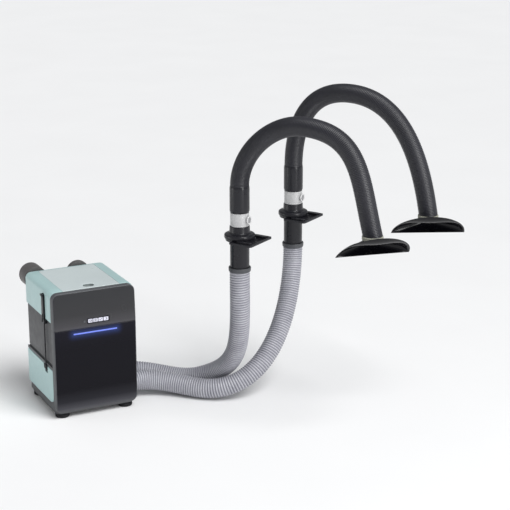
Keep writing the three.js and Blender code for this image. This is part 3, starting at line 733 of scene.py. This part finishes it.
# steel body with the groove of the parting line and a rolled lip under the head
SEAM = (221, 226)
piece("steel_body", [stack(341.4, 336, 10, [
    (26.4, 0.8), (27.2, 0), (206, 0), (SEAM[0] - 1, 0), (SEAM[0], 0.8), (SEAM[0] + 0.1, 3.2),
    (SEAM[1] - 0.1, 3.2), (SEAM[1], 0.8), (SEAM[1] + 1, 0), (402, 0), (404, 0.9), (411, 0.9), (411.9, 1.6)],
    (0, BASE_BACK))], UNIT, "unit", GRAPHITE, ["chassis"])
for name in ("left", "right"):
    # lip that closes the lower body, level with the coloured panel below it
    piece(f"seam_lip_{name}", [through(panel(321, 11.6, 2, flat(SIDE - 0.6), flat(170.9), 1.6, up=4),
                                       facing(name, (0, 14.5, 213.2)))],
          UNIT, "unit", FRAME_GREY)
    # ears that carry the lever's pins
    ears = []
    for y0, y1 in ((-82.2, -77.6), (-52.4, -47.8)):
        ears.append(through(panel(y1 - y0, 18, [1, 1, 1, 1], flat(184), flat(169), 1.2, across=3, up=3),
                            facing(name, (0, (y0 + y1) / 2, 400))))
    piece(f"latch_ears_{name}", ears, UNIT, "unit", BLACK)

# ---- coloured side panels ----
LATCH_Y = -65
THROUGH_SIDE = [(160, 0), (190, 0)]
for name in ("left", "right"):
    radii = [5, 44, 5, 5] if name == "left" else [44, 5, 5, 5]
    low, high = 60, 206
    skirt = piece(f"side_skirt_{name}", [through(panel(321, high - low, radii, flat(SIDE), flat(171.1), 2.4),
                                                 facing(name, (0, 14.5, (low + high) / 2)))],
        UNIT, "unit", TEAL, [f"side_panel_{name}"])
    cuts = [through(stack(32, 60, 5, THROUGH_SIDE), facing(name, (0, LATCH_Y, high)))]
    if name == "right":
        cuts.append(through(stack(245.6, 66.6, 8, THROUGH_SIDE), facing(name, (0, 4.5, 83))))
    carve(skirt, UNIT, *cuts)

plate = through(panel(239, 85, 6, flat(SIDE), flat(171.1), 1.5), facing("right", (0, 4.5, 69.5)))
exits = [(0, *route[0][0][1:]) for route in HOSE_ROUTES.values()]
spigots = [turned([(38.2, 176), (43.9, 176), (43.9, 185), (38.2, 185)], axis="x", at=at) for at in exits]
collars = [turned([(44.2, 176.5), (53, 176.5), (50, 180.5), (44.2, 181)], axis="x", at=at, radius=1.5)
           for at in exits]
piece("inlet_plate", [plate, *spigots, *collars], UNIT, "unit", FRAME_GREY,
      ["inlet_manifold"])

# ---- front: grey frame, glossy faces, light bar, window and button ----
FACE_INSET = 3.5


CURL_TOP, CURL_HIGH, CURL_DEEP = 92, 70, 17  # the foot of the front curls in: where from, how long, how far
FRAME_MID = 202.5
WRAP = (6, 6.3)  # the frame's sides run back past the chassis from here outwards


def curl(z):
    if z >= CURL_TOP:
        return 0
    return CURL_DEEP * (1 - math.sqrt(max(1 - ((CURL_TOP - z) / CURL_HIGH) ** 2, 0)))


def low_frame(u, v, d):
    return -0.9 - curl(v + FRAME_MID)


def frame_back(offset):
    def back(u, v, d):
        z = v + offset
        wraps = abs(u) > SIDE - 6.1 and z > 58
        return FRONT - FRAME_BACK + 0.3 if wraps or z > HEAD_LOW + 0.3 else -19.7
    return back


curled_rows = [CURL_TOP - CURL_HIGH * math.cos(k / 12 * math.pi / 2) - FRAME_MID for k in range(13)]
piece("front_frame_low", [through(
    panel(WIDTH, 360.6, [34, 34, 0, 0], low_frame, frame_back(FRAME_MID), 3, extra=WRAP,
          extra_rows=curled_rows),
    facing("front", (0, FRONT, FRAME_MID)))], UNIT, "unit", FRAME_GREY, ["front_panel_lower"])
FACE_LOW = 34
face_mid = (FACE_LOW + CREASE - 0.6) / 2
face_low = piece("front_face_low", [through(
    panel(WIDTH - 2 * FACE_INSET, CREASE - 0.6 - FACE_LOW, [24, 24, 1, 1],
          lambda u, v, d: -curl(v + face_mid), lambda u, v, d: -2.4 - curl(v + face_mid), 1.4,
          extra_rows=[v + FRAME_MID - face_mid for v in curled_rows]),
    facing("front", (0, FRONT, face_mid)))], UNIT, "unit", [GLOSS, DARK])
LED_Z = 362
led_at = facing("front", (0, FRONT, LED_Z))
carve(face_low, UNIT, through(stack(189.4, 7.4, 3.6, [(-4, 0), (4, 0)]), led_at))
piece("light_bar", [through(stack(188, 6, 2.9, [(-3, 0), (-0.4, 0), (0.1, 0.4), (0.3, 1.2)]), led_at)],
      UNIT, "unit", LED, ["led_bar"])

HIGH_LOW, HIGH_TOP = CREASE + 0.9, TOP - 2
high_mid = (HIGH_LOW + HIGH_TOP) / 2
leaning = lambda v, mid: -(v + mid - CREASE) * LEAN
piece("front_frame_high", [through(
    panel(WIDTH, HIGH_TOP - HIGH_LOW, [0, 0, 28, 28], lambda u, v, d: -0.9 + leaning(v, high_mid),
          frame_back(high_mid), 3, extra=WRAP, extra_rows=[HEAD_LOW + d - high_mid for d in (0.2, 0.5)]),
    facing("front", (0, FRONT, high_mid)))], UNIT, "unit", FRAME_GREY, ["front_panel_upper"])
FACE_TOP = HIGH_TOP - 3
face_mid = (HIGH_LOW + FACE_TOP) / 2
face_high = piece("front_face_high", [through(
    panel(WIDTH - 2 * FACE_INSET, FACE_TOP - HIGH_LOW, [1, 1, 25, 25], lambda u, v, d: leaning(v, face_mid),
          lambda u, v, d: -2.4 + leaning(v, face_mid), 1.4), facing("front", (0, FRONT, face_mid)))],
    UNIT, "unit", [SMOKE, DARK])
LEANED = (Matrix.Translation((0, FRONT, CREASE)) @ Matrix.Rotation(math.radians(-3), 4, "X")
          @ facing("front", (0, 0, 0)))
WINDOW_AT = (14, 27)
BUTTON_AT = (-45, 27)
shift = Matrix.Translation((*WINDOW_AT, 0))
carve(face_high, UNIT,
      through(stack(97, 23, 3.4, [(-3, 0), (4, 0)]), LEANED @ shift),
      through(turned([(0, -4), (7.6, -4), (7.6, 4), (0, 4)], closed=False, radius=0, at=(*BUTTON_AT, 0)),
              LEANED))
piece("icon_window", [through(stack(96, 22, 3, [(-2, 0), (-0.2, 0), (0, 0.3)]), LEANED @ shift)],
      UNIT, "unit", GLOSS, ["display_window"])


def bar(x, y, w, h, r=0.6, z=(0, 0.3)):
    return through(stack(w, h, r, [(z[0], 0), (z[1], 0)], steps=3), Matrix.Translation((x, y, 0)))


# four plain lit tiles, each with a dark mark: rings, bars, a bar and dot, and an arrow
tiles, marks = [], []
for k, x in enumerate((-34, -12, 10, 33)):
    tiles.append(bar(x, 0, 19 if k < 3 else 21, 15, 2.4, (-0.1, 0.12)))
    if k == 0:
        marks += [turned([(3.0, 0.1), (4.4, 0.1), (4.4, 0.25), (3.0, 0.25)], 28, at=(x, 0, 0), radius=0),
                  bar(x + 6.5, 0, 1.6, 9, 0.4, (0.1, 0.25))]
    elif k == 1:
        marks += [bar(x, y, 11, 1.6, 0.5, (0.1, 0.25)) for y in (-4, 0, 4)]
    elif k == 2:
        marks += [bar(x - 2, -2, 8, 1.8, 0.5, (0.1, 0.25)), bar(x + 4, 3, 3, 3, 1.4, (0.1, 0.25))]
    else:
        marks += [through(bar(0, 0, 8, 1.8, 0.5, (0.1, 0.25)), Matrix.Translation((x + 2, s * 2.6, 0))
                          @ Matrix.Rotation(-s * math.radians(38), 4, "Z")) for s in (-1, 1)]
piece("icon_tiles", [through(p, LEANED @ shift) for p in tiles], UNIT, "unit", ICON)
piece("icon_marks", [through(p, LEANED @ shift) for p in marks], UNIT, "unit", DARK)
cap = turned([(0, -6), (7, -6, 0), (7, 0.9, 0.9), (5.2, 1.1, 1), (0, 0.7)], closed=False, at=(*BUTTON_AT, 0))
piece("button_cap", [through(cap, LEANED)], UNIT, "power_button", SMOKE,
      ["power_button"])
ring_mark = turned([(2.6, 1.0), (3.5, 1.0), (3.5, 1.25), (2.6, 1.25)], 28, at=(*BUTTON_AT, 0), radius=0)
stroke = bar(BUTTON_AT[0], BUTTON_AT[1] + 2.6, 1.0, 3.4, 0.3, (0.95, 1.3))
piece("button_mark", [through(p, LEANED) for p in (ring_mark, stroke)], UNIT, "power_button", DIM_ICON)

# ---- head: shell with rounded shoulders, lid, finger cup, outlets ----
HEAD_EDGE = 24


def shoulder_row(y, inset, drop):
    """Section of the head in the XZ plane at one depth."""
    w, z0, z1 = WIDTH - 2 * inset, HEAD_LOW + 0.3, TOP - drop
    line = outline(w, z1 - z0, [0.6, 0.6, HEAD_EDGE, HEAD_EDGE], 0, 10)
    return [(x, y, z + (z0 + z1) / 2) for x, z in line]


REAR_EDGE = 18
rows = [shoulder_row(FRAME_BACK + depth, inset, inset)
        for depth, inset in ((0, 1.0), (0.4, 0.4), (1.4, 0.0), (60, 0), (200, 0), (308, 0))]
for k in range(1, 9):
    a = k / 8 * math.pi / 2
    y, fall = REAR - REAR_EDGE * (1 - math.sin(a)), REAR_EDGE * (1 - math.cos(a))
    rows.append(shoulder_row(y, fall, fall / 2))
rows.reverse()
head = piece("head_cover", [loft(rows)], UNIT, "unit", [TEAL, DARK], ["head_shell"])
LID_REAR = 160
lid_mid, lid_long = (FRAME_BACK + LID_REAR) / 2, LID_REAR - FRAME_BACK
FINGER_AT, FINGER_SIZE, FINGER_ROUND = (0, -112), (46, 34), 16.5
grooves = [through(stack(30, 130, [0, 0, 9, 9], [(170, 0), (181, 0)]), facing(name, (0, LATCH_Y, 452)))
           for name in ("left", "right")]
# The walls of these cuts take the near-black: painted shade in the latch grooves, a dark joint round the lid.
carve(head, UNIT, *grooves,
      stack(244.8, lid_long + 5, [0, 0, 12, 12], [(TOP - 4, 0), (TOP + 6, 0)], (0, lid_mid - 2.2)),
      stack(FINGER_SIZE[0] + 2, FINGER_SIZE[1] + 2, 17, [(TOP - 20, 0), (TOP + 6, 0)], FINGER_AT))
lid = piece("head_lid", [through(panel(244, lid_long, [0, 0, 12, 12], flat(TOP + 0.3), flat(TOP - 3.7), 1.2),
                                 Matrix.Translation((0, lid_mid, 0)))],
            UNIT, "unit", PALE, ["top_panel"])
carve(lid, UNIT, stack(*FINGER_SIZE, FINGER_ROUND, [
    (TOP - 10, 0), (TOP - 1.2, 0), (TOP - 0.2, -0.5), (TOP + 0.31, -1.4), (TOP + 6, -1.4)], FINGER_AT))
# The cup's walls and floor take the painted shade.
cup = [(0.6, 0.5), (4, 0.9), (10, 2.2), (14, 5), (15.5, 9), (17.5, 8), (15, 3), (10, 0.2), (0.6, 0.1)]
cup_rows = [[(x + FINGER_AT[0], y + FINGER_AT[1], TOP - depth)
             for x, y in outline(*FINGER_SIZE, FINGER_ROUND, inset)] for depth, inset in cup]
cup_floor = (cup_rows[4], [tuple(range(len(cup_rows[4])))])
piece("finger_cup", [loft(cup_rows, loop=True), cup_floor], UNIT, "unit", CUP_SHADE)

for name, x, long in (("left", -127, 80), ("right", 63, 25)):
    stub = turned([(26.5, 0.4), (49, 0.4, 0.5), (49, long - 16, 0.5), (48.4, long - 15.4, 0.5),
                   (48.4, long - 13, 0.5), (49, long - 12.4, 0.5), (49, long - 3, 3), (46.4, long - 0.1, 1),
                   (45, long - 2, 1), (45, 6, 3), (26.5, 5, 1)], 72, "y", (x, REAR, 505))
    # Dark disc across the bore of the outlet: painted shade of the way into the head.
    shade_disc = turned([(0, -0.5), (27, -0.5), (27, 2.5), (0, 2.5)], 40, "y", (x, REAR, 505), closed=False)
    piece(f"outlet_{name}", [stub], UNIT, "unit", STUB_GREY, [f"exhaust_spigot_{name}"])
    piece(f"outlet_throat_{name}", [shade_disc], UNIT, "unit", DARK)

# ---- back ----
back = piece("back_cover", [through(
    panel(300, 372, 12, lambda u, v, d: REAR if d > 14 or d < 11 else REAR - 0.8, flat(176.4), 1.2,
          extra=(11, 11.6, 13.4, 14)), facing("back", (0, 0, 214)))],
    UNIT, "unit", [GRAPHITE, DARK], ["rear_panel"])
INLET_AT, ROCKER_AT = (114, 62), (114, 98)
carve(back, UNIT, *[through(stack(w, h, 2, [(170, 0), (190, 0)]), facing("back", (x, 0, z)))
                    for w, h, (x, z) in ((28.8, 20.8, INLET_AT), (18.8, 28.4, ROCKER_AT))])
# Dark bars just proud of the back cover stand for the vent slots: painted shade where the openings are.
slots = [through(stack(64, 4, 1.9, [(178.9, 0), (180.25, 0)], steps=4), facing("back", (x, 0, z)))
         for z in range(250, 340, 12) for x in (-70, 0, 70)]
piece("vent_slots", slots, UNIT, "unit", DARK)
heads = [turned([(0, 182), (3.2, 182, 1), (4.2, 180, 0.5), (4.2, 179, 0), (0, 179)], 24, "y", (x, 0, z),
                closed=False) for x in (-142, 0, 142) for z in (36, 214, 392)]
piece("cover_screws", heads, UNIT, "unit", ALUMINIUM)
refined("mains_socket", "mains_inlet", "unit", BLACK, 0.5)
refined("rocker_key", "rocker_switch", "rocker", BLACK, 0.7)

# ---- latches ----
ROD_X, ROD_LOW, ROD_TOP = 178, 192, 412
for name in ("left", "right"):
    refined(f"lever_{name}", f"latch_lever_{name}", f"latch_lever_{name}", BLACK, 0.9)
    refined(f"catch_{name}", f"latch_catch_{name}", "unit", BLACK, 0.9)
    x = -ROD_X if name == "left" else ROD_X
    shank = turned([(0, ROD_LOW), (3, ROD_LOW, 1), (3, ROD_TOP - 7, 0), (3, ROD_TOP, 1), (0, ROD_TOP)], 28,
                   at=(x, LATCH_Y, 0), closed=False)
    eye = turned([(0, -4.5), (3.8, -4.5), (3.8, 4.5), (0, 4.5)], 28, "y", (x, LATCH_Y, ROD_TOP), closed=False)
    tee = turned([(0, -12), (3.5, -12, 1.2), (3.5, 12, 1.2), (0, 12)], 28, "y", (x, LATCH_Y, ROD_LOW),
                 closed=False)
    rod = f"latch_rod_{name}"
    piece(f"rod_{name}", [shank, eye, tee], UNIT, rod, ROD, [rod])

# ---- bench stations ----
ARMS = {
    1: dict(apex=(288, 497), end=(603, 105), rise=141, lead=133, run=262, drop=215, lean=62, turn=-43),
    2: dict(apex=(263, 558), end=(634, 96), rise=132, lead=221, run=228, drop=255, lean=42, turn=-56),
}
ARM_R = 39
ARM_PITCH = 6.2
BORE, SLEEVE_R = 36.2, 38.6
HOLLOW_X, HOLLOW_R = 7, 65.5  # where the plate's hollow starts, and the round pad it goes about
END_SPARE = 14  # the arm's end runs on this far and is trimmed level
CUFF_TOP = 226
KNOB_Z = 88
HOOD_SHAPE = {"half": 150, "arch": 90, "over": 90, "neck": 59, "drop": 76, "wall": 3.2}


def hood_surface(a, t, inner):
    """Point of the hood: a runs round from the facing direction, t from the neck to the rim."""
    c, s = math.cos(a), math.sin(a)
    fore, aft = max(0.0, c), max(0.0, -c)
    neck = ARM_R + 1
    start = (neck * c, neck * s, HOOD_SHAPE["neck"] - 5)
    mid = (40 * c + 30 * fore, 108 * s, 53 + 2 * fore - 40 * aft)
    rim = (HOOD_SHAPE["over"] * fore - aft, HOOD_SHAPE["half"] * s, HOOD_SHAPE["arch"] * fore)
    at = [(1 - t) ** 2 * p + 2 * t * (1 - t) * q + t * t * r for p, q, r in zip(start, mid, rim)]
    if inner:
        inside, reach = (25, 0, 22), (60, HOOD_SHAPE["half"], 40)
        at = [i + (1 - HOOD_SHAPE["wall"] / w) * (v - i) for v, i, w in zip(at, inside, reach)]
    return Vector(at)


def hood_mesh(around=112, levels=22):
    turn = [TAU * k / around for k in range(around)]

    def ring(radius, drop):
        return [Vector((radius * math.cos(a), radius * math.sin(a), HOOD_SHAPE["neck"] - drop)) for a in turn]

    rows = [ring(ARM_R, 0), ring(ARM_R + 1, 1)]
    rows += [[hood_surface(a, j / levels, False) for a in turn] for j in range(levels + 1)]
    for share, bulge in ((0.15, 0.7), (0.5, 1.1), (0.85, 0.7)):
        row = []
        for a in turn:
            outer, inner = hood_surface(a, 1, False), hood_surface(a, 1, True)
            onward = (outer - hood_surface(a, 0.97, False)).normalized()
            row.append(outer.lerp(inner, share) + onward * bulge)
        rows.append(row)
    rows += [[hood_surface(a, 1 - j / levels, True) for a in turn] for j in range(levels + 1)]
    rows += [ring(36.5, 1), ring(37, 0)]
    return loft(rows, loop=True)


for number, arm in ARMS.items():
    PLACE = station(number)
    ax, az = arm["apex"]
    ex, ez = arm["end"]

    # plate on the bench: raised rim, thin floor with two slots, full height under the duct
    plate = piece(f"bench_plate_{number}", [through(panel(104, 168, [6, 10, 10, 6], flat(8), flat(0), 1.6),
                                                    Matrix.Translation((52, 0, 0)))],
                  PLACE, "unit", [BRACKET], [f"bench_bracket_{number}"])
    sweep = math.acos(HOLLOW_X / HOLLOW_R)
    hollow = [(HOLLOW_R * math.cos(a), HOLLOW_R * math.sin(a)) for a in np.linspace(-sweep, sweep, 49)]
    corners = [(HOLLOW_X, 77), (97, 77), (97, -77), (HOLLOW_X, -77)]
    hollow += softened([hollow[-1], *corners, hollow[0]], 5, 6)[1:-1]
    carve(plate, PLACE, loft([[(x, y, z) for x, y in hollow] for z in (3.5, 12)]),
          turned([(0, -5), (41, -5), (41, 20), (0, 20)], 64, closed=False, radius=0),
          *[stack(66, 18, 8.9, [(-5, 0), (2.7, 0), (3.51, -0.8), (12, -0.8)], (60, y)) for y in (-62, 62)])
    piece(f"plate_ear_{number}", [turned([(40.6, 0), (58, 0, 1), (58, 7.9, 1), (40.6, 7.9)], 96, radius=0.6)],
          PLACE, "unit", BRACKET)

    piece(f"duct_base_{number}", [turned([
        (BORE, -113.6), (39.5, -113.6), (39.5, 8.3, 0.5), (60.5, 8.3, 1), (63, 11.5, 2), (63, 24, 4),
        (58, 28, 4), (46, 30.5, 5), (42.2, 34, 4), (41.2, 56, 1), (40.4, 60, 1.2), (BORE, 60)], 96)],
        PLACE, "unit", BRACKET, [f"duct_flange_{number}"])
    bands = [(SLEEVE_R - deep, z + up, 0.4) for z in (66, 107)
             for up, deep in ((0, 0), (0.6, 0.5), (1.6, 0.5), (2.2, 0))]
    piece(f"damper_sleeve_{number}", [turned([
        (BORE, 60.4), (38.0, 60.4, 0.6), (SLEEVE_R, 61.6, 0.6), *bands, (SLEEVE_R, 113.8, 0.6),
        (38.0, 115, 0.6), (BORE, 115)], 96),
        turned([(0, 36.6), (8.6, 36.6), (8.6, 40.4, 0.8), (0, 40.4)], 40, "x", (0, 0, KNOB_Z), closed=False)],
        PLACE, "unit", WHITE, [f"damper_collar_{number}"])
    flutes = lambda r, h, a: r - (0.9 if r > 14 and math.cos(18 * a) > 0.2 else 0)
    knob = [turned([(0, 41.2), (13, 41.2), (17, 43, 1), (17, 47, 1.2), (14.6, 48.4, 0.8), (13, 47.2, 0.6),
                    (12, 46.6, 0.6), (0, 46.4)], 108, "x", (0, 0, KNOB_Z), closed=False, wave=flutes)]
    disc = turned([(0, 46.3), (11.6, 46.3, 0.4), (11.6, 46.9, 0.4), (0, 46.9)], 48, "x", (0, 0, KNOB_Z),
                  closed=False)
    grip = through(stack(4.2, 21, 2, [(46.4, 0), (48.2, 0), (48.8, 0.7)], steps=5),
                   facing("right", (0, 0, KNOB_Z)))
    piece(f"knob_{number}", knob + [(*disc, 1), (*grip, 1)], PLACE, f"damper_{number}",
          [KNOB_WHITE, KNOB_GREY], [f"damper_knob_{number}"])
    vane = turned([(0, -1), (34.6, -1), (34.6, 1), (0, 1)], 64, "y", (0, 0, KNOB_Z), closed=False, radius=0.5)
    shaft = turned([(0, -33), (3, -33), (3, 40.8), (0, 40.8)], 24, "x", (0, 0, KNOB_Z), closed=False)
    piece(f"vane_{number}", [vane, shaft], PLACE, f"damper_{number}", ALUMINIUM,
          [f"damper_vane_{number}"])
    piece(f"arm_sleeve_{number}", [turned([
        (BORE, 115.4), (37.6, 115.4, 1.5), (40.6, 123, 7), (40.6, 217, 3), (39.1, 225.9, 1.2),
        (BORE, CUFF_TOP)], 96)],
        PLACE, f"arm_base_{number}", BRACKET, [f"arm_cuff_{number}"])

    # ribbed arm over the bend
    low = [(0, 0, CUFF_TOP - 3), (0, 0, CUFF_TOP + arm["rise"]), (ax - arm["lead"], 0, az), (ax, 0, az)]
    spare = (ex + END_SPARE * arm["lean"] / arm["drop"], 0, ez - END_SPARE)
    high = [(ax, 0, az), (ax + arm["run"], 0, az), (ex - arm["lean"], 0, ez + arm["drop"]), spare]
    route = Route([low, high])
    points, faces, numbers = ribbed(route, ARM_PITCH, [39.0, 38.1, 36.9, 38.1], 38.2, 44, [0, 0, 0, 0],
                                    tail=((0, 36.0), (110, 36.0)))
    data = bpy.data.meshes.new(f"arm_tube_{number}")
    data.from_pydata([PLACE @ Vector(p) for p in points], [], faces)
    trim(data, PLACE @ Vector((0, 0, ez + 0.05)))
    close_holes(data)
    tube = finish_mesh(f"arm_tube_{number}", data, None, [ARM],
                       [f"arm_lower_{number}", f"arm_upper_{number}"], 80)
    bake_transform(tube)

    # hood and the knurled ring that holds it
    knurl = lambda r, h, a: r - (0.9 if r > 41 and math.cos(36 * a) > 0 else 0)
    end = Matrix.Translation((ex, 0, ez))
    ring = turned([(36.2, -15.9), (40.5, -15.9), (41.9, -14, 0.6), (41.9, -2.2, 0.6), (40.5, -0.4),
                   (36.2, -0.4)], 216, radius=0.6, wave=knurl)
    piece(f"knurled_ring_{number}", [through(ring, end)], PLACE, f"hood_head_{number}", BEIGE,
          [f"hood_ring_{number}"], sharp=40)
    swing = Matrix.Rotation(math.radians(arm["turn"]), 4, "Z")
    hood_at = Matrix.Translation((ex, 0, ez - HOOD_SHAPE["drop"])) @ swing
    piece(f"half_moon_hood_{number}", [through(hood_mesh(), hood_at)], PLACE, f"hood_head_{number}", HOOD,
          [f"hood_{number}"], sharp=60)

# ---- finishes of the CAD nodes that stay, most of them inside the unit ----
INSIDE = {
    "prefilter_mat": FELT, "filter_cassette": CARD, "filter_gasket": RUBBER, "turbine_housing": ALUMINIUM,
    "impeller": ALUMINIUM, "motor": GRAPHITE, "control_board": BOARD,
}
for node, material in INSIDE.items():
    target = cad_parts[node].data
    target.materials.clear()
    target.materials.append(material)

# ---- floor and light ----
FLOOR_HALF = 60
floor_data = bpy.data.meshes.new("floor")
corners = [(x * FLOOR_HALF, y * FLOOR_HALF, 0) for x, y in ((-1, -1), (1, -1), (1, 1), (-1, 1))]
floor_data.from_pydata(corners, [], [(0, 1, 2, 3)])
floor = add_object("floor", floor_data)
pale = Finish("pale_floor", 0.85, Specular_IOR_Level=0.2)
pale.colour(pale.ramp(pale.noise(1.5, 2), [(0.3, (0.87, 0.87, 0.873)), (0.7, (0.885, 0.885, 0.888))]))
floor_data.materials.append(pale.material)


def aim(made, at, target):
    made.location = at
    made.rotation_euler = (Vector(target) - Vector(at)).to_track_quat("-Z", "Y").to_euler()


def lamp(name, at, target, size, power, spread=180):
    data = bpy.data.lights.new(name, "AREA")
    data.shape = "RECTANGLE"
    data.size, data.size_y = size
    data.energy = power
    data.spread = math.radians(spread)
    aim(add_object(name, data), at, target)


sun = bpy.data.lights.new("sun", "SUN")
sun.energy = 2.6
sun.angle = math.radians(35)
aim(add_object("sun", sun), (0.9, -2.2, 3.4), (0, 0, 0))
lamp("tall_strip", (1.1, -4.6, 1.6), (0.1, 0, 0.9), (0.7, 2.6), 70)
lamp("left_fill", UNIT_AT + Vector((-1.6, 0.5, 0.5)), UNIT_AT + Vector((-0.17, 0, 0.22)), (0.9, 0.9), 1.2,
     spread=60)
world = bpy.data.worlds.new("world")
world.use_nodes = True
sky = world.node_tree.nodes["Background"].inputs
sky["Color"].default_value = (0.96, 0.98, 1.0, 1)
sky["Strength"].default_value = 0.34
bpy.context.scene.world = world
bpy.context.scene.view_settings.view_transform = "Standard"
